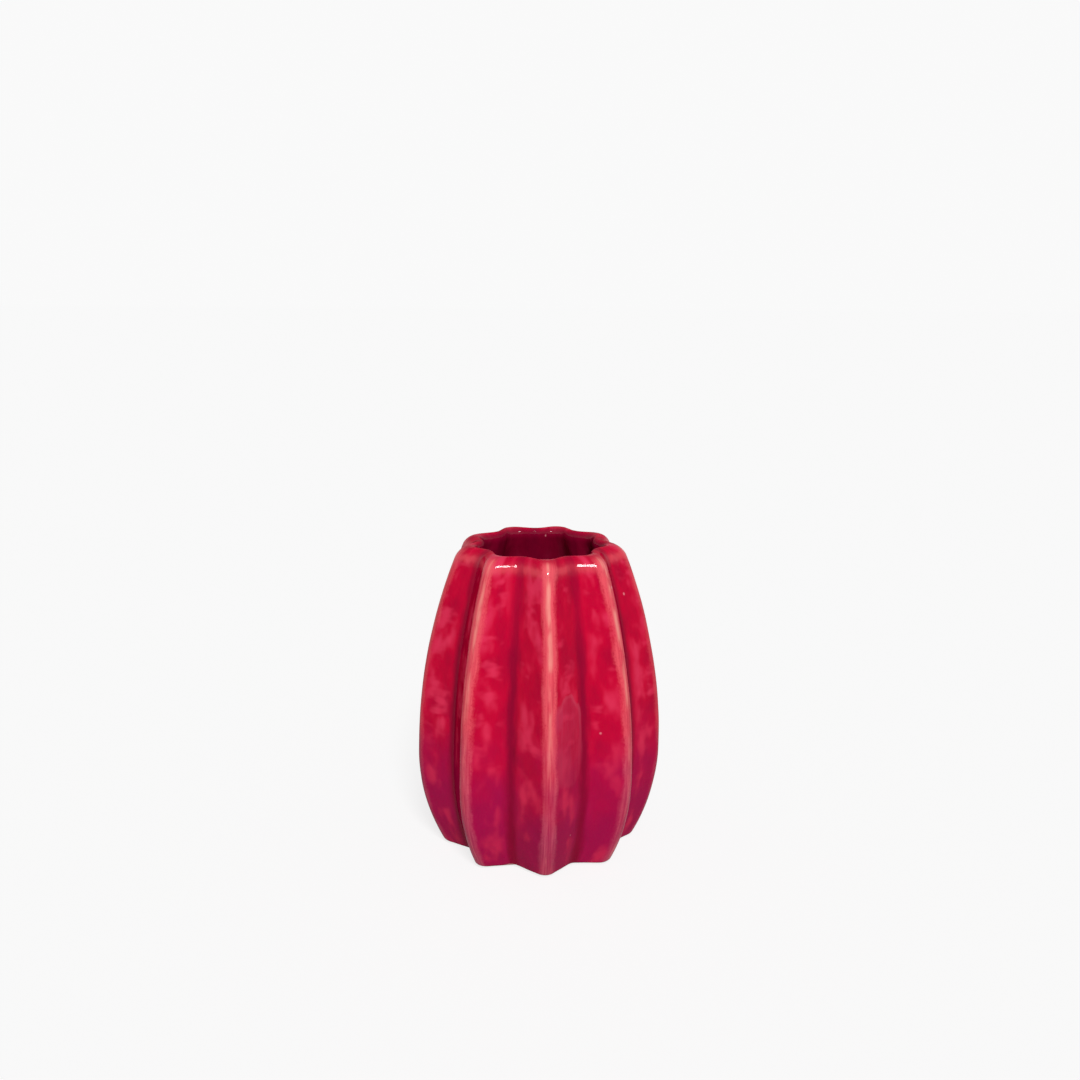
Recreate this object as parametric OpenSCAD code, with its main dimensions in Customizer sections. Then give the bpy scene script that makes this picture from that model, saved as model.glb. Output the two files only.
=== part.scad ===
// Ribbed ceramic vase: a slip-cast clay body with a star-shaped section, under a coat of glaze.
// Every section is the same star at its own size, so both pieces are lofts of one outline
// along a meridian that runs up the outside, over the lip and down the inside.

/* [Outline] */
// Height over the glazed lip
vase_h = 101; // [85:1:130]
// Diameter through the crests at the belly
belly_d = 80.2; // [72:0.2:92]
// Height of the belly above the table
belly_h = 33; // [26:1:42]
// Diameter through the crests at the table
foot_d = 62.8; // [56:0.2:70]
// Diameter through the crests at the top, as if the lip were sharp
neck_d = 52.8; // [46:0.2:60]

/* [Ribs] */
// Number of ribs
rib_count = 9; // [8:1:10]
// Angle between the two flanks of a rib, in degrees
crest_angle = 93; // [86:1:100]

/* [Clay] */
// Thickness of the fired wall, measured across a flank
wall_t = 4; // [3:0.1:5]
// Height of the floor inside above the table
floor_h = 5; // [4:0.1:8]
// Radius on the crest of a rib in the clay
clay_crest_r = 2.4; // [1.8:0.1:3]
// Radius at the bottom of a groove in the clay
clay_groove_r = 2; // [1:0.1:3]
// Radius that the slip leaves inside each rib
inner_crest_r = 5.5; // [4:0.1:7]
// Radius between the wall and the floor inside
inner_floor_r = 9; // [5:0.5:12]
// Height of the rounded part of the lip
lip_h = 3.6; // [2.5:0.1:5]

/* [Foot] */
// Radius on the edge that meets the table
foot_edge_r = 2; // [1.2:0.1:3]
// Height of the wiped band of clay between the table and the glaze, on that rounded edge
bare_h = 0.5; // [0.2:0.05:0.9]

/* [Glaze] */
// Thickness on the flanks and inside
glaze_t = 0.5; // [0.35:0.05:0.7]
// Thickness over a crest, where the melt runs thin
glaze_crest_t = 0.3; // [0.2:0.05:0.45]
// Thickness in a groove, where the melt pools
glaze_groove_t = 0.8; // [0.6:0.05:1]

/* [Hidden] */

clay_colour = [0.9, 0.86, 0.8];
glaze_colour = [0.72, 0.02, 0.13];

// Steps of the loft: round a crest, round a groove, up the wall, over the lip, down the inside,
// round the bottom corner, and round the edge of the foot under the glaze's edge and over it
crest_steps = 4;
groove_steps = 2;
wall_steps = 12;
lip_steps = 8;
inner_steps = 7;
floor_steps = 3;
bare_steps = 2;
edge_steps = 3;

// The star: half angles of a rib as seen from the axis, of its crest and of its groove
rib_half = 180/rib_count;
crest_half = crest_angle/2;
groove_half = crest_half + rib_half;
normal_turn = 90 - crest_half;

// How far a rounded corner stands back from the sharp one, as a multiple of its radius
crest_back = 1/sin(crest_half) - 1;
groove_back = 1/sin(groove_half) - 1;
// A fillet takes at most this share of a flank
fillet_share = 0.72;

// Radii that give the glaze its thickness over the crest and in the groove
glaze_crest_r = clay_crest_r + (glaze_t/sin(crest_half) - glaze_crest_t)/crest_back;
glaze_groove_r = clay_groove_r + (glaze_groove_t - glaze_t/sin(groove_half))/groove_back;

// The meridian of the glazed crest: two arcs that meet upright at the belly
belly_r = belly_d/2;
function arc_radius(rise, inset) = (rise*rise + inset*inset)/(2*inset);
lower_arc_r = arc_radius(belly_h, belly_r - foot_d/2);
upper_arc_r = arc_radius(vase_h - belly_h, belly_r - neck_d/2);
function meridian(z) =
    let (arc_r = z < belly_h ? lower_arc_r : upper_arc_r)
    belly_r - arc_r + sqrt(arc_r*arc_r - (z - belly_h)*(z - belly_h));

// Distance from the axis to the sharp corner of the glazed star at a height
function glazed_corner(z) = meridian(z) + glaze_crest_r*crest_back;
// The same corner after every flank has moved in by a depth
function corner_at(z, depth) = glazed_corner(z) - depth/sin(crest_half);

// A ring of the loft is [sharp corner, crest radius, groove radius, height]
function blend(a, b, share) = a + (b - a)*share;
function flank_length(corner) = corner*sin(rib_half)/sin(groove_half);
function crest_fit(corner, r) = min(r, fillet_share*flank_length(corner)*tan(crest_half));

// The points of one ring: the round of each crest, then the round of the groove after it
function star(ring) =
    let (
        corner = ring[0],
        crest_r = crest_fit(corner, ring[1]),
        spare = flank_length(corner) - crest_r/tan(crest_half),
        groove_r = min(ring[2], spare*tan(groove_half)),
        crest_centre = corner - crest_r/sin(crest_half),
        groove_centre = (corner*sin(crest_half) + groove_r)/sin(groove_half)
    )
    [for (rib = [0:rib_count - 1])
        let (axis = 2*rib_half*rib - 90)
        each concat(
            [for (i = [0:crest_steps])
                let (turn = axis + normal_turn*(2*i/crest_steps - 1))
                [crest_centre*cos(axis) + crest_r*cos(turn),
                 crest_centre*sin(axis) + crest_r*sin(turn)]],
            [for (i = [0:groove_steps])
                let (
                    valley = axis + rib_half,
                    turn = valley + 180 + (normal_turn - rib_half)*(1 - 2*i/groove_steps)
                )
                [groove_centre*cos(valley) + groove_r*cos(turn),
                 groove_centre*sin(valley) + groove_r*sin(turn)]]
        )];
function lift(ring) = [for (p = star(ring)) [p[0], p[1], ring[3]]];

// One skin from the rounded edge of the foot to the floor: the wall, the lip, the inside and its
// bottom corner. The depth is how far the skin lies under the glazed surface; outer and inner hold
// the crest and groove radii on each side.
function skin(depth, outer, inner) =
    let (
        lip_z = vase_h - lip_h,
        lip_rise = lip_h - depth,
        far = wall_t + 2*glaze_t - depth,
        bottom_z = floor_h + glaze_t - depth,
        corner_r = inner_floor_r + depth,
        corner_z = bottom_z + corner_r,
        inside = corner_at(corner_z, far)
    )
    concat(
        [for (i = [0:wall_steps])
            let (z = blend(foot_edge_r, lip_z, i/wall_steps))
            [corner_at(z, depth), outer[0], outer[1], z]],
        [for (i = [1:lip_steps])
            let (
                turn = 180*i/lip_steps,
                z = lip_z + lip_rise*sin(turn),
                share = (1 - cos(turn))/2
            )
            [corner_at(z, blend(depth, far, share)),
             blend(outer[0], inner[0], share), blend(outer[1], inner[1], share), z]],
        [for (i = [1:inner_steps])
            let (z = blend(lip_z, corner_z, i/inner_steps))
            [corner_at(z, far), inner[0], inner[1], z]],
        [for (i = [1:floor_steps])
            let (turn = 90*i/floor_steps)
            [inside - corner_r*(1 - cos(turn)), inner[0], inner[1], corner_z - corner_r*sin(turn)]]
    );

clay_outer = [clay_crest_r, clay_groove_r];
clay_inner = [inner_crest_r, clay_groove_r + wall_t];
glaze_outer = [glaze_crest_r, glaze_groove_r];
glaze_inner = [inner_crest_r - glaze_t, clay_groove_r + wall_t + glaze_t];

// A ring on the rounded edge of the foot, with a share of the glaze's thickness on it
function foot_ring(turn, share) =
    let (r = foot_edge_r + glaze_t*share)
    [corner_at(foot_edge_r - r*cos(turn), glaze_t + foot_edge_r - r*sin(turn)),
     blend(clay_crest_r, glaze_crest_r, share), blend(clay_groove_r, glaze_groove_r, share),
     foot_edge_r - r*cos(turn)];

// The glaze starts on the clay at this turn, and swells to its full thickness up the rounded edge
bare_turn = acos(1 - bare_h/foot_edge_r);
foot_rings = [for (i = [0:bare_steps - 1]) foot_ring(bare_turn*i/bare_steps, 0)];
function edge_turn(i) = blend(bare_turn, 90, i/edge_steps);
clay_edge = [for (i = [0:edge_steps - 1]) foot_ring(edge_turn(i), 0)];
glaze_edge = [for (i = [1:edge_steps - 1]) foot_ring(edge_turn(i), sin(90*i/edge_steps))];
clay_skin = concat(clay_edge, skin(glaze_t, clay_outer, clay_inner));
glaze_skin = concat([clay_edge[0]], glaze_edge, skin(0, glaze_outer, glaze_inner));

ring_points = rib_count*(crest_steps + groove_steps + 2);

// The two triangles of every quad between ring a and ring b, each given by its first point
function band(a, b, inward = false) =
    [for (j = [0:ring_points - 1])
        let (k = (j + 1)%ring_points)
        each inward ? [[a + j, a + k, b + k], [a + j, b + k, b + j]]
                    : [[a + j, b + k, a + k], [a + j, b + j, b + k]]];
function fan(a, pole, inward = false) =
    [for (j = [0:ring_points - 1])
        let (k = (j + 1)%ring_points)
        inward ? [a + j, a + k, pole] : [a + j, pole, a + k]];
function points_of(rings) = [for (ring = rings) each lift(ring)];
function pole(ring) = [0, 0, ring[3]];

// The fired clay, cast in one piece: flat foot, wall, lip and floor
module clay_body() {
    rings = concat(foot_rings, clay_skin);
    last = len(rings) - 1;
    foot_pole = ring_points*len(rings);
    faces = concat(
        fan(0, foot_pole, true),
        [for (i = [0:last - 1]) each band(ring_points*i, ring_points*(i + 1))],
        fan(ring_points*last, foot_pole + 1)
    );
    color(clay_colour)
        polyhedron(concat(points_of(rings), [pole(rings[0]), pole(rings[last])]), faces);
}

// The coat of glass: its free skin and, facing the clay, the clay's own skin
module glaze_coat() {
    front = len(glaze_skin);
    back = len(clay_skin);
    front_pole = ring_points*front;
    back_start = front_pole + 1;
    back_pole = back_start + ring_points*(back - 1);
    function clay_ring(i) = i == 0 ? 0 : back_start + ring_points*(i - 1);
    faces = concat(
        [for (i = [0:front - 2]) each band(ring_points*i, ring_points*(i + 1))],
        fan(ring_points*(front - 1), front_pole),
        [for (i = [0:back - 2]) each band(clay_ring(i), clay_ring(i + 1), true)],
        fan(clay_ring(back - 1), back_pole, true)
    );
    clay_side = [for (i = [1:back - 1]) clay_skin[i]];
    color(glaze_colour)
        polyhedron(
            concat(points_of(glaze_skin), [pole(glaze_skin[front - 1])],
                   points_of(clay_side), [pole(clay_skin[back - 1])]),
            faces);
}

clay_body();
glaze_coat();
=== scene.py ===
import math

import bmesh
import bpy
from mathutils import Matrix, Vector, noise


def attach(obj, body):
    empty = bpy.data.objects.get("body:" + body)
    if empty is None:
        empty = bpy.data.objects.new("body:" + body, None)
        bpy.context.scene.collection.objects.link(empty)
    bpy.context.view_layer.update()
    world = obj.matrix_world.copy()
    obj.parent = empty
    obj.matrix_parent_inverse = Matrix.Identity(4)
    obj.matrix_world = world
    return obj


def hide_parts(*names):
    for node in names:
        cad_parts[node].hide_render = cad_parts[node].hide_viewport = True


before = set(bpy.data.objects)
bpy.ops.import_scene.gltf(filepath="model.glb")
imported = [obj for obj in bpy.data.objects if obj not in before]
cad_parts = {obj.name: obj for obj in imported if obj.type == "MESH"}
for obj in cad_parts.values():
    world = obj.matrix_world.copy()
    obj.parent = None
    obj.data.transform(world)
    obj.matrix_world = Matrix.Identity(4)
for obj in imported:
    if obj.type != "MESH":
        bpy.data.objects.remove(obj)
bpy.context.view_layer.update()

# Camera
# It stands where the photograph was taken from: 358 mm from the axis of the vase, 189 mm above
# the table and 5 degrees to the left of the front rib, and it looks down by 14 degrees.
camera_turn = math.radians(-5.23)
camera_tilt = math.radians(90 - 13.79)
camera_roll = math.radians(0.54)
camera_away, camera_high = 0.3578, 0.1893
camera = bpy.data.objects.new("camera", bpy.data.cameras.new("camera"))
camera.data.sensor_width = 36
camera.data.lens = 38.54
camera.matrix_world = (
    Matrix.Rotation(camera_turn, 4, "Z")
    @ Matrix.Translation((0, -camera_away, camera_high))
    @ Matrix.Rotation(camera_tilt, 4, "X")
    @ Matrix.Rotation(camera_roll, 4, "Z")
)
bpy.context.scene.collection.objects.link(camera)
bpy.context.scene.camera = camera

# Clay body
# Pale earthenware, cast in a plaster mould as one hollow star with nine ribs. Its flat foot is
# sponged round at the edge and left dry, and all the rest of it is under the glaze.
mm = 0.001
# Sizes are in mm: a name in _h is a height, in _r a radius, in _t a thickness
vase_h, lip_h = 101.0, 3.6
belly_h, belly_r, foot_r, neck_r = 33.0, 40.1, 31.4, 26.4
wall_t, floor_h, glaze_t = 4.0, 5.0, 0.5
clay_crest_r, clay_groove_r, inner_crest_r, inner_floor_r = 2.4, 2.0, 5.5, 9.0
clay_outer, clay_inner = (clay_crest_r, clay_groove_r), (inner_crest_r, clay_groove_r + wall_t)
glaze_crest_t, glaze_groove_t = 0.3, 0.8
foot_edge_r, bare_h = 2.0, 0.5
# A fillet takes at most this share of a flank
fillet_share = 0.72

# The star: half angles of a rib as seen from the axis, of its crest and of its groove
ribs = 9
rib_half = math.pi/ribs
crest_half = math.radians(46.5)
groove_half = crest_half + rib_half
front_crest = -math.pi/2
# How far a rounded corner stands back from the sharp one, as a multiple of its radius
crest_back = 1/math.sin(crest_half) - 1
groove_back = 1/math.sin(groove_half) - 1
# Radii that give the glaze its thickness over the crest and in the groove
glaze_crest_r = clay_crest_r + (glaze_t/math.sin(crest_half) - glaze_crest_t)/crest_back
glaze_groove_r = clay_groove_r + (glaze_groove_t - glaze_t/math.sin(groove_half))/groove_back
glaze_outer = (glaze_crest_r, glaze_groove_r)
glaze_inner = (inner_crest_r - glaze_t, clay_groove_r + wall_t + glaze_t)


def meridian(z):
    """How far the crest of a rib is from the axis: two arcs that meet upright at the belly."""
    rise, inset = (belly_h, belly_r - foot_r) if z < belly_h else (vase_h - belly_h, belly_r - neck_r)
    arc_r = (rise*rise + inset*inset)/(2*inset)
    return belly_r - arc_r + math.sqrt(arc_r*arc_r - (z - belly_h)**2)


def sharp_corner(z, depth):
    """The same as if the crest were sharp, after every flank has moved in by a depth."""
    return meridian(z) + glaze_crest_r*crest_back - depth/math.sin(crest_half)


def off_crest(angle):
    """The angle from the nearest crest, with its side as its sign."""
    return (angle - front_crest + rib_half) % (2*rib_half) - rib_half


def outline(corner, crest_r, groove_r, off):
    """How far a star section is from the axis, at an angle off its crest."""
    off = abs(off)
    flank = corner*math.sin(rib_half)/math.sin(groove_half)
    crest_r = min(crest_r, fillet_share*flank*math.tan(crest_half))
    groove_r = min(groove_r, (flank - crest_r/math.tan(crest_half))*math.tan(groove_half))
    crest_centre = corner - crest_r/math.sin(crest_half)
    crest_end = math.atan2(crest_r*math.cos(crest_half), crest_centre + crest_r*math.sin(crest_half))
    if off < crest_end:
        return crest_centre*math.cos(off) + math.sqrt(crest_r**2 - (crest_centre*math.sin(off))**2)
    groove_centre = (corner*math.sin(crest_half) + groove_r)/math.sin(groove_half)
    groove_start = math.atan2(
        groove_centre*math.sin(rib_half) - groove_r*math.cos(crest_half),
        groove_centre*math.cos(rib_half) - groove_r*math.sin(crest_half),
    )
    if off > groove_start:
        left = rib_half - off
        return groove_centre*math.cos(left) - math.sqrt(groove_r**2 - (groove_centre*math.sin(left))**2)
    return corner*math.sin(crest_half)/math.sin(crest_half + off)


# Noise and finishes count their way round the vase on an even circle of this radius
unrolled_r = 38.0


def lumps(angle, z, size, seed=0):
    """Soft noise in lumps of a size in mm, alike for every layer at one place of the wall."""
    across, along = math.cos(angle)*unrolled_r, math.sin(angle)*unrolled_r
    return noise.noise(Vector((across/size, along/size, (z + seed)/size)))


# The wall keeps a hair inside the mould, and it sways and has dents, in lumps of these sizes
shrink_t, sway_t, dent_t = 0.22, 0.14, 0.08
sway_size, dent_size = 31, 8.5


def uneven(angle, z):
    """What the mould and the sponge leave in the wall, in mm; it never swells out of the mould."""
    sway = lumps(angle, z, sway_size)
    dents = lumps(angle, z, dent_size, seed=400)
    return -shrink_t + sway_t*sway + dent_t*dents


def plain_ring(*numbers):
    """A ring is a function of the angle: height, depth, crest and groove radius, draw-in, inside."""
    return lambda angle: numbers


# The bare clay ends in a ragged edge above bare_h: its mean rise and its highest point, its teeth
# as a rise, a size and a seed, and two wiped places as a rise, an angle and a width in degrees
ragged_mean, bare_most = 0.1, 0.85*foot_edge_r
teeth = ((0.3, 4, 900), (0.25, 13, 950))
wiped_places = ((1.1, -113, 3.4), (0.45, -127, 9))


def foot_ring(share, swell):
    """A ring on the rounded edge: share is 0 at the table, 1 where the glaze stops, 2 at the wall."""
    def ring(angle):
        ragged = ragged_mean
        for rise, size, seed in teeth:
            ragged += rise*lumps(angle, 0, size, seed)
        bare_top = bare_h + max(0.0, ragged)
        for rise, place, width in wiped_places:
            bare_top += rise*math.exp(-((angle - math.radians(place))/math.radians(width))**2)
        bare_turn = math.acos(1 - min(bare_top, bare_most)/foot_edge_r)
        turn = bare_turn*min(share, 1) + (math.pi/2 - bare_turn)*max(share - 1, 0)
        r, grown = foot_edge_r + swell, swell/glaze_t
        z, depth = foot_edge_r - r*math.cos(turn), glaze_t + foot_edge_r - r*math.sin(turn)
        radii = [a + (b - a)*grown for a, b in zip(clay_outer, glaze_outer)]
        return z, depth, *radii, 0, 0
    return ring


# A rib wanders sideways by up to this angle in radians, the lip settles above a height, and the
# unevenness dies away towards the axis, within the calm radius
rib_wander, settle_t, settle_from, calm_r = 0.011, 0.12, 80.0, 15.0
wander_size, settle_size = 26, 12


def star_point(ring, angle):
    """The place of one point of a ring: radius, height, the angle in the star, inside or not."""
    z, depth, crest_r, groove_r, draw_in, inside = ring(angle)
    shifted = angle + rib_wander*lumps(angle, z, wander_size, seed=700)
    corner = sharp_corner(max(z, 0 if inside < 1 else floor_h + inner_floor_r), depth) - draw_in
    radius = outline(corner, crest_r, groove_r, off_crest(shifted))
    settle_share = max(0.0, (z - settle_from)/(vase_h - settle_from))
    settle = settle_t*(1 + lumps(angle, 0, settle_size, seed=60))*settle_share
    return radius + min(1.0, radius/calm_r)*uneven(angle, z), z - settle, shifted, inside


def wall_rings(depth, outer, inner, steps):
    """The rings of a skin: up the outside, over the lip, down the inside and into the floor."""
    wall_n, lip_n, inner_n, floor_n = steps
    lip_z, far = vase_h - lip_h, wall_t + 2*glaze_t - depth
    bottom_z, corner_r = floor_h + glaze_t - depth, inner_floor_r + depth
    corner_z = bottom_z + corner_r
    rings = [
        plain_ring(foot_edge_r + (lip_z - foot_edge_r)*i/wall_n, depth, *outer, 0, 0)
        for i in range(wall_n + 1)
    ]
    for i in range(1, lip_n + 1):
        turn = math.pi*i/lip_n
        share = (1 - math.cos(turn))/2
        radii = [a + (b - a)*share for a, b in zip(outer, inner)]
        height = lip_z + (lip_h - depth)*math.sin(turn)
        rings.append(plain_ring(height, depth + (far - depth)*share, *radii, 0, share))
    for i in range(1, inner_n + 1):
        rings.append(plain_ring(lip_z + (corner_z - lip_z)*i/inner_n, far, *inner, 0, 1))
    for i in range(1, floor_n + 1):
        turn = math.pi/2*i/floor_n
        draw_in = corner_r*(1 - math.cos(turn))
        rings.append(plain_ring(corner_z - corner_r*math.sin(turn), far, *inner, draw_in, 1))
    return rings


def loft(bm, start, rings):
    """Extrudes a ring of edges along the rings and returns the last one."""
    edges = start
    for ring in rings:
        made = bmesh.ops.extrude_edge_only(bm, edges=edges)["geom"]
        set_ring([v for v in made if isinstance(v, bmesh.types.BMVert)], ring)
        edges = [e for e in made if isinstance(e, bmesh.types.BMEdge)]
        edges = [e for e in edges if len(e.link_faces) == 1]
    return edges


def set_ring(verts, ring):
    """Moves points to their places on a ring, each along its own line from the axis.

    The rib layer holds how far a point is from a crest and from a groove, and if it is inside. The
    flow layer holds its place on the even circle, and the way up the wall and on down the inside.
    """
    for v in verts:
        angle = math.atan2(v.co.y, v.co.x)
        radius, height, shifted, inside = star_point(ring, angle)
        off = off_crest(shifted)
        v.co = Vector((radius*math.cos(angle), radius*math.sin(angle), height))*mm
        run = height if inside < 0.5 else 2*vase_h - height
        v[rib_layer] = Vector((radius*math.sin(abs(off)), radius*math.sin(rib_half - abs(off)), inside))
        v[flow_layer] = Vector((unrolled_r*math.cos(angle), unrolled_r*math.sin(angle), run))


# What the finishes read at a closing point on the axis: on a crest, 9 mm from a groove, inside
on_axis = Vector((0, 9, 1))


def close(bm, edges, z):
    """Draws a last ring together into a point on the axis."""
    made = bmesh.ops.extrude_edge_only(bm, edges=edges)["geom"]
    verts = [v for v in made if isinstance(v, bmesh.types.BMVert)]
    for v in verts:
        v[rib_layer] = on_axis
        v[flow_layer] = Vector((0, 0, 2*vase_h))
    bmesh.ops.pointmerge(bm, verts=verts, merge_co=(0, 0, z*mm))


# Points round a ring, and how much closer they stand on the crests
points_round, crowding = 396, 0.45


def first_ring(bm, ring):
    """A circle of points, closer together on the crests, moved to their places on a ring."""
    verts = bmesh.ops.create_circle(bm, segments=points_round, radius=1)["verts"]
    for v in verts:
        angle = math.atan2(v.co.y, v.co.x)
        angle -= crowding*math.sin(ribs*(angle - front_crest))/ribs
        v.co = (math.cos(angle), math.sin(angle), 0)
    set_ring(verts, ring)
    return [e for e in bm.edges if e.verts[0] in verts]


def new_mesh():
    """An empty mesh with the two layers that the finishes read."""
    bm = bmesh.new()
    return bm, bm.verts.layers.float_vector.new("rib"), bm.verts.layers.float_vector.new("flow")


def finish_piece(bm, name, node, material):
    """Makes the object of a piece and puts it in its node's place."""
    bmesh.ops.recalc_face_normals(bm, faces=bm.faces)
    for face in bm.faces:
        face.smooth = True
    mesh = bpy.data.meshes.new(name)
    bm.to_mesh(mesh)
    bm.free()
    piece = bpy.data.objects.new(name, mesh)
    bpy.context.scene.collection.objects.link(piece)
    mesh.materials.append(material)
    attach(piece, "root")
    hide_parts(node)


class Value:
    """An output of a material's node. Sums and products of it add Math nodes."""

    def __init__(self, finish, socket):
        self.finish, self.socket = finish, socket

    def math(self, operation, *values):
        return self.finish.add("ShaderNodeMath", {"operation": operation}, dict(enumerate(values)))

    def __add__(self, other):
        return self.math("ADD", self, other)

    def __sub__(self, other):
        return self.math("SUBTRACT", self, other)

    def __rsub__(self, other):
        return self.math("SUBTRACT", other, self)

    def __mul__(self, other):
        return self.math("MULTIPLY", self, other)

    __radd__, __rmul__ = __add__, __mul__

    def beside(self, output):
        """Another output of the same node."""
        return Value(self.finish, self.socket.node.outputs[output])

    def step(self, start, end):
        """0 below start and 1 above end, eased in between; the other way round if end is lower."""
        ends = {"Value": self, "From Min": start, "From Max": end}
        if end < start:
            ends = {"Value": self, "From Min": end, "From Max": start, "To Min": 1.0, "To Max": 0.0}
        return self.finish.add("ShaderNodeMapRange", {"interpolation_type": "SMOOTHSTEP"}, ends)


class Finish:
    """A material, or the world, as it is built up node by node."""

    def __init__(self, owner):
        owner.use_nodes = True
        self.owner, self.tree = owner, owner.node_tree
        self.tree.nodes.clear()

    def add(self, kind, settings, inputs, output=0):
        node = self.tree.nodes.new(kind)
        for name, setting in settings.items():
            setattr(node, name, setting)
        for name, value in inputs.items():
            if isinstance(value, Value):
                self.tree.links.new(value.socket, node.inputs[name])
            else:
                node.inputs[name].default_value = value
        return Value(self, node.outputs[output]) if len(node.outputs) else None

    def mix(self, share, a, b):
        """A colour that goes from a to b with a share."""
        ends = [colour if isinstance(colour, Value) else (*colour, 1) for colour in (a, b)]
        return self.add("ShaderNodeMix", {"data_type": "RGBA"}, {0: share, 6: ends[0], 7: ends[1]}, 2)

    def layer(self, name):
        """The three numbers of a mesh layer."""
        vector = self.add("ShaderNodeAttribute", {"attribute_name": name}, {}, "Vector")
        return vector, [self.add("ShaderNodeSeparateXYZ", {}, {0: vector}, i) for i in range(3)]

    def grain(self, vector, sizes, detail=2.0, seed=0.0):
        """Noise about 0, with lumps of the given sizes in mm along the three axes."""
        place = {"Vector": vector, "Location": (seed,)*3, "Scale": tuple(1/size for size in sizes)}
        moved = self.add("ShaderNodeMapping", {}, place)
        return self.add("ShaderNodeTexNoise", {}, {"Vector": moved, "Scale": 1.0, "Detail": detail}) - 0.5

    def bump(self, height, distance, under=None):
        """Relief of a distance in mm; another relief may lie under it."""
        inputs = {"Height": height, "Distance": distance*mm, "Strength": 1.0}
        if under:
            inputs["Normal"] = under
        return self.add("ShaderNodeBump", {}, inputs)

    def surface(self, inputs):
        """The outer shader, from its sockets."""
        shader = self.add("ShaderNodeBsdfPrincipled", {}, inputs)
        self.add("ShaderNodeOutputMaterial", {}, {"Surface": shader})
        return self.owner

    def place(self):
        """Where the surface is, in mm."""
        place = self.add("ShaderNodeTexCoord", {}, {}, "Object")
        return self.add("ShaderNodeVectorMath", {"operation": "SCALE"}, {0: place, "Scale": 1/mm})


# The dry clay: warm and pale, with fine dark specks, a sponged grain and a pink stain by the glaze
tan, cream, grit = (0.66, 0.55, 0.45), (0.78, 0.7, 0.6), (0.58, 0.47, 0.37)
iron, pink_stain = (0.25, 0.18, 0.13), (0.78, 0.27, 0.3)
clay = Finish(bpy.data.materials.new("dry_earthenware"))
where = clay.place()
height = clay.add("ShaderNodeSeparateXYZ", {}, {0: where}, 2)
cloud = clay.grain(where, (9, 9, 9), 4.0)
sand = clay.grain(where, (0.45, 0.45, 0.45), 3.0, 7.0)
speck = clay.grain(where, (0.7, 0.7, 0.7), 0.0, 31.0).step(0.2, 0.27)
stain = (height + cloud*0.7).step(0.45, 1.1)
dry = clay.mix(cloud + 0.5, tan, cream)
dry = clay.mix(sand.step(-0.25, 0.25)*0.35, dry, grit)
dry = clay.mix(speck*0.5, dry, iron)
dry = clay.mix(stain*0.75, dry, pink_stain)
clay_relief = clay.bump(sand, 0.12, clay.bump(cloud, 0.5))
clay_finish = clay.surface({
    "Base Color": dry,
    "Roughness": sand*0.15 + 0.82,
    "Normal": clay_relief,
})

# The face of the foot is hollow by a hair, so that the vase stands on the rim of its star
hollow_h, hollow_w, hollow_n = 0.3, 20, 5
face_depth = glaze_t + foot_edge_r
hollow = [
    plain_ring(hollow_h*(1 - (1 - i/hollow_n)**2), face_depth, *clay_outer, hollow_w*i/hollow_n, 0)
    for i in range(1, hollow_n + 1)
]
# How many rings go up the outside, over the lip, down the inside and into the floor, and how many
# go round the edge of the foot as far as the glaze
clay_steps, edge_n = (34, 8, 14, 5), 4
clay_edge = [foot_ring(i/edge_n, 0) for i in range(1, 2*edge_n)]
clay_skin = wall_rings(glaze_t, clay_outer, clay_inner, clay_steps)
body, rib_layer, flow_layer = new_mesh()
start = first_ring(body, foot_ring(0, 0))
middle = loft(body, start, hollow)
end = loft(body, start, clay_edge + clay_skin)
close(body, middle, hollow_h)
close(body, end, floor_h)
finish_piece(body, "clay_body_fired", "clay_body", clay_finish)

# Glaze coat
# A thick translucent crimson glaze, dipped over the clay and wiped off the foot. It runs thin
# over the crests and below the lip, where the clay glows through, and pools dark in the grooves.
# Light and shade are also painted into its colour: reflections on the flanks and crests, highlights
# down the crests, paler front crests, and shade at the bottom and inside.
# Several of these colours carry painted light: the maroon and the colour of the inside are painted shade,
# the pale coral is a painted highlight, lilac is painted reflection and highlight, and blush, deep and
# mauve are partly painted reflection.
crimson, deep, pooled = (0.63, 0.0004, 0.036), (0.44, 0.0003, 0.033), (0.27, 0.0002, 0.028)
blush, shade_maroon, inner_shade = (0.78, 0.03, 0.095), (0.37, 0.004, 0.078), (0.22, 0.0015, 0.026)
mauve, lilac = (0.56, 0.03, 0.09), (0.66, 0.09, 0.16)
coral, highlight_coral = (0.88, 0.09, 0.125), (0.98, 0.33, 0.28)
glass = Finish(bpy.data.materials.new("crimson_glaze"))
where = glass.place()
height = glass.add("ShaderNodeSeparateXYZ", {}, {0: where}, 2)
_, (off, to_groove, inside) = glass.layer("rib")
flow, (right, fore, _) = glass.layer("flow")
# Noise in the melt and in the painted light, from hair streaks and runs down the wall to wide
# clouds, each with its sizes
streak = glass.grain(flow, (0.6, 0.6, 12), 3.0)
run = glass.grain(flow, (2.4, 2.4, 10), 3.0, 5.0)
fleck = glass.grain(flow, (0.5, 0.5, 0.7), 2.0, 41.0)
patch = glass.grain(flow, (6, 6, 11), 2.0, 11.0)
band = glass.grain(flow, (8, 8, 5), 2.0, 77.0)
haze = glass.grain(flow, (11, 11, 14), 2.5, 55.0)
# Shares of the melt and of the painted light by where they lie, from measures in mm that the
# noise frays
flank = to_groove.step(1.5, 4.5)*to_groove.step(13, 8)
outside = inside.step(0.35, 0.05)
# Painted light: the three front crests, which face the lamp and the camera, are painted the palest
front_lit = fore.step(2, -26)*0.5 + 0.5
# The pale band on each crest is thin glaze over the clay, and also painted reflection
crest = (off + run*2.4 + patch*1.5 + streak*1.4 + fleck).step(2.8, 1.3)
crest = crest*front_lit*(1 - fleck.step(0.02, 0.25)*0.35)
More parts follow.
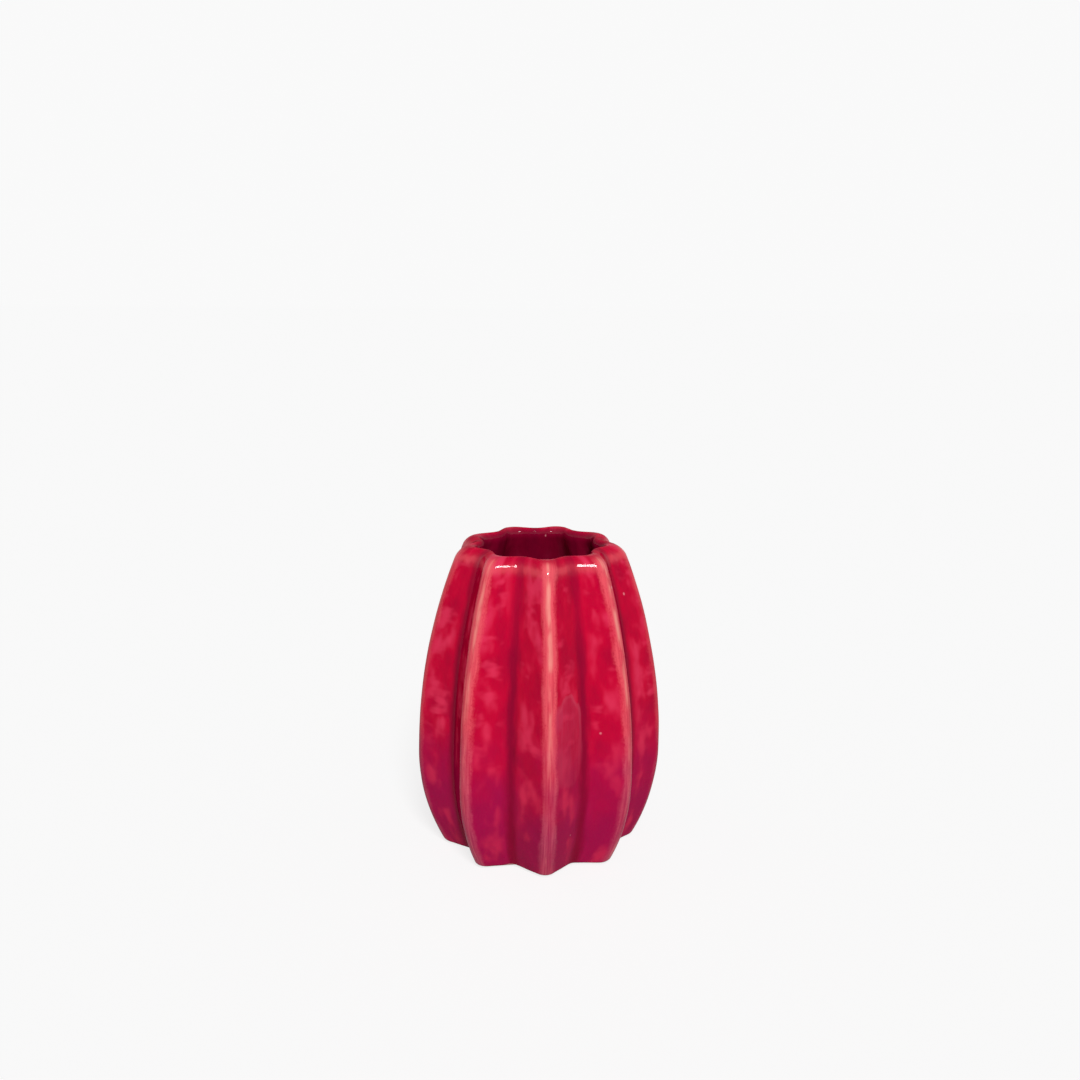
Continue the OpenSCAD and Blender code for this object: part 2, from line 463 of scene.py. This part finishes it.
# Painted highlight: a pale streak down the middle of the crests, strongest on the front ones
crest_highlight = (off + run*2.0 + streak*1.6).step(1.2, 0.1)*(run + patch).step(-0.16, 0.15)*front_lit
groove = (to_groove + run*2.8).step(2.7, 0.2)
lip = (height + run*2.0).step(96.2, 97.8)*(height + run*1.5).step(99.4, 98.2)*(1 - groove*0.7)
# Painted shade: the glaze is painted darker towards the bottom
lower = (height + haze*40).step(60, 12)
# One thick drip of paler glaze hangs on the flank to the right of the front crest, and its mauve
# is also painted reflection, with a painted highlight in lilac along its upper rim. Its measure is
# about 1 at its edge, and it has a term that keeps the back of the vase clear of it.
drip_x, drip_z, drip_w, drip_h = 6.4, 47, 5.4, 14
across, level = (right - drip_x)*(1/drip_w), (height - drip_z)*(1/drip_h)
drip_and_sheen = across*across + level*level*level*level + fore.step(-34, -20)*9 + run*0.9 + patch
# The colours from the body of the glaze to what lies on it
# Darker patches: partly the glaze's own mottle, partly painted reflection
glow = glass.mix(patch.step(0.1, -0.3)*0.8, crimson, deep)
# Painted shade: maroon towards the bottom
glow = glass.mix(lower*0.8, glow, shade_maroon)
# Blush patches and bands mid-flank: partly the glaze's own mottle, partly painted reflection
glow = glass.mix(patch.step(-0.01, 0.21)*(flank*0.95 + 0.05)*(1 - lower*0.45), glow, blush)
glow = glass.mix(band.step(0.02, 0.22)*height.step(30, 52)*(flank*0.9 + 0.05), glow, blush)
glow = glass.mix(groove*(0.9 - height.step(55, 98)*0.4), glow, pooled)
glow = glass.mix(drip_and_sheen.step(1.35, 0.75)*(patch*1.4 + streak*0.7 + 0.5), glow, mauve)
glow = glass.mix(drip_and_sheen.step(1.3, 1.1)*drip_and_sheen.step(0.75, 1)*height.step(40, 58)*0.25, glow, lilac)
glow = glass.mix(lip*outside*0.45, glow, coral)
# Painted reflection of the table: the crests turn lilac towards the bottom
pink = glass.mix(lower, coral, lilac)
# Pale crests, brighter higher up: thin glaze over the clay, and also painted reflection
glow = glass.mix(crest*outside*(height.step(0, 75)*0.45 + (streak*1.8 + 0.42)), glow, pink)
# Painted highlight down the middle of the crests
glow = glass.mix(crest_highlight*outside*(height.step(20, 92)*0.9 + streak*1.5 + 0.03), glow, highlight_coral)
# Painted shade: the inside is painted darker, less so towards the floor
glow = glass.mix(inside.step(0.5, 0.9)*(height.step(15, 70)*0.45 + 0.4), glow, inner_shade)
# A few burst bubbles, each a pale dot about a millimetre wide
bubble_apart, bubble_pink = 9, (0.9, 0.3, 0.36)
bubble = glass.add("ShaderNodeTexVoronoi", {}, {"Vector": flow, "Scale": 1/bubble_apart}, "Distance")
chance = glass.add("ShaderNodeSeparateColor", {}, {0: bubble.beside("Color")})
glow = glass.mix(bubble.step(0.07, 0.03)*chance.step(0.7, 0.72)*0.7, glow, bubble_pink)
# The skin of the glass lies in faint waves, with finer ripples on them
pool = glass.grain(flow, (5, 5, 7), 1.0, 17.0)
fine = glass.grain(flow, (1.1, 1.1, 1.6), 2.0, 23.0)
relief = glass.bump(fine, 0.03, glass.bump(pool, 0.5))
glaze_finish = glass.surface({
    "Base Color": glow,
    "Roughness": lower*0.06 + (fine*0.05 + 0.1),
    "Specular IOR Level": 0.0,
    "Coat Weight": height.step(95, 97)*height.step(100.3, 98.7)*0.3 + (crest*0.18 + 0.09),
    "Coat Roughness": 0.06,
    "Normal": relief,
})

# The free skin swells from its thin edge to the full thickness, and the back is the clay's skin
glaze_edge_t, glaze_steps, swell_n = 0.05, (92, 16, 30, 8), 8
swelling = [foot_ring(1 + i/swell_n, glaze_t*math.sin(math.pi/2*i/swell_n)) for i in range(1, swell_n)]
glaze_skin = wall_rings(0, glaze_outer, glaze_inner, glaze_steps)
coat, rib_layer, flow_layer = new_mesh()
start = first_ring(coat, foot_ring(1, glaze_edge_t))
free_end = loft(coat, start, swelling + glaze_skin)
back_end = loft(coat, start, clay_edge[edge_n:] + clay_skin)
close(coat, free_end, floor_h + glaze_t)
close(coat, back_end, floor_h)
finish_piece(coat, "glaze_coat_fired", "glaze_coat", glaze_finish)

# Table and light
# A plain white table under one soft lamp above and in front of the vase, in a room that is evenly
# lit. The camera and the gloss see table and room as white, and the table takes the soft shadow.
backdrop_light, room_light, matt_share = 0.95, 0.18, 0.2
table_half, table_dark, table_pale, plain_white = 4.0, (0.63,)*3, (0.66,)*3, (1, 1, 1)
lamp_strength, lamp_width, lamp_from = 2.5, math.radians(15), Vector((0.07, -1, 0.95))


def seen(finish):
    """1 for what the camera sees, straight or in the gloss, and 0 for light on its way to the vase."""
    kinds = "Is Camera Ray", "Is Glossy Ray", "Is Transmission Ray"
    rays = [finish.add("ShaderNodeLightPath", {}, {}, kind) for kind in kinds]
    return finish.add("ShaderNodeClamp", {}, {0: rays[0] + rays[1] + rays[2]})


paint = Finish(bpy.data.materials.new("white_table"))
mottle = paint.grain(paint.place(), (60, 60, 60), 2.0)
tone = paint.mix(seen(paint), paint.mix(mottle + 0.5, table_dark, table_pale), plain_white)
matt = paint.add("ShaderNodeBsdfDiffuse", {}, {"Color": tone})
shine = paint.add("ShaderNodeEmission", {}, {"Color": (*plain_white, 1), "Strength": 1.0})
shown = paint.add("ShaderNodeMixShader", {}, {0: seen(paint)*(1 - matt_share), 1: matt, 2: shine})
paint.add("ShaderNodeOutputMaterial", {}, {"Surface": shown})

top = bmesh.new()
bmesh.ops.create_grid(top, x_segments=1, y_segments=1, size=table_half)
mesh = bpy.data.meshes.new("table")
top.to_mesh(mesh)
top.free()
mesh.materials.append(paint.owner)
table = bpy.data.objects.new("table", mesh)
bpy.context.scene.collection.objects.link(table)

room = Finish(bpy.data.worlds.new("room"))
lit, backdrop = [
    room.add("ShaderNodeBackground", {}, {"Color": (*plain_white, 1), "Strength": strength})
    for strength in (room_light, backdrop_light)
]
air = room.add("ShaderNodeMixShader", {}, {0: seen(room), 1: lit, 2: backdrop})
room.add("ShaderNodeOutputWorld", {}, {"Surface": air})
bpy.context.scene.world = room.owner

lamp = bpy.data.objects.new("soft_lamp", bpy.data.lights.new("soft_lamp", "SUN"))
lamp.data.energy = lamp_strength
lamp.data.angle = lamp_width
lamp.rotation_euler = lamp_from.to_track_quat("Z", "Y").to_euler()
bpy.context.scene.collection.objects.link(lamp)
bpy.context.scene.view_settings.view_transform = "Standard"
